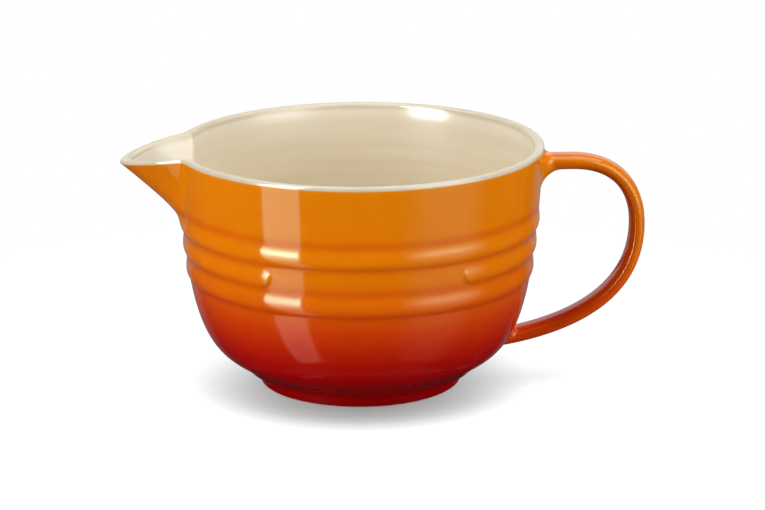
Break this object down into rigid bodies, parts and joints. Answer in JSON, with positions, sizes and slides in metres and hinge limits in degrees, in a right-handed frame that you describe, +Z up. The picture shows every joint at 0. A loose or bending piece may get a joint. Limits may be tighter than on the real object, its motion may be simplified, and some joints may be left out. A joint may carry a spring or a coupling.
{
  "type": "batter bowl",
  "caption": "Glazed stoneware batter bowl with a pouring beak, a strap handle, relief ribs round the wall and a turned foot ring to stand on.",
  "frame": {"origin": "on the bowl's axis, in the plane that the foot stands on", "axes": "+Z up along the bowl's axis; +X out through the handle, so that the beak points to -X; the blank plate faces -Y"},
  "size_m": [0.2619, 0.1836, 0.1223],
  "materials": {
    "orange_glaze": "glossy orange glaze that runs to deep red below the ribs",
    "red_glaze": "glossy deep red glaze",
    "bare_clay": "matt unglazed stoneware",
    "cream_glaze": "glossy cream glaze",
    "pale_band": "satin pale glaze that has thinned over the edge"
  },
  "bodies": {
    "root": {"bowl_wall": "orange_glaze", "foot_ring": "red_glaze", "bare_ring": "bare_clay", "beak": "orange_glaze", "handle_strap": "orange_glaze", "upper_root": "orange_glaze", "lower_root": "red_glaze", "bowl_lining": "cream_glaze", "beak_lining": "cream_glaze", "rim_band": "pale_band", "lip_band": "pale_band"}
  },
  "joints": []
}
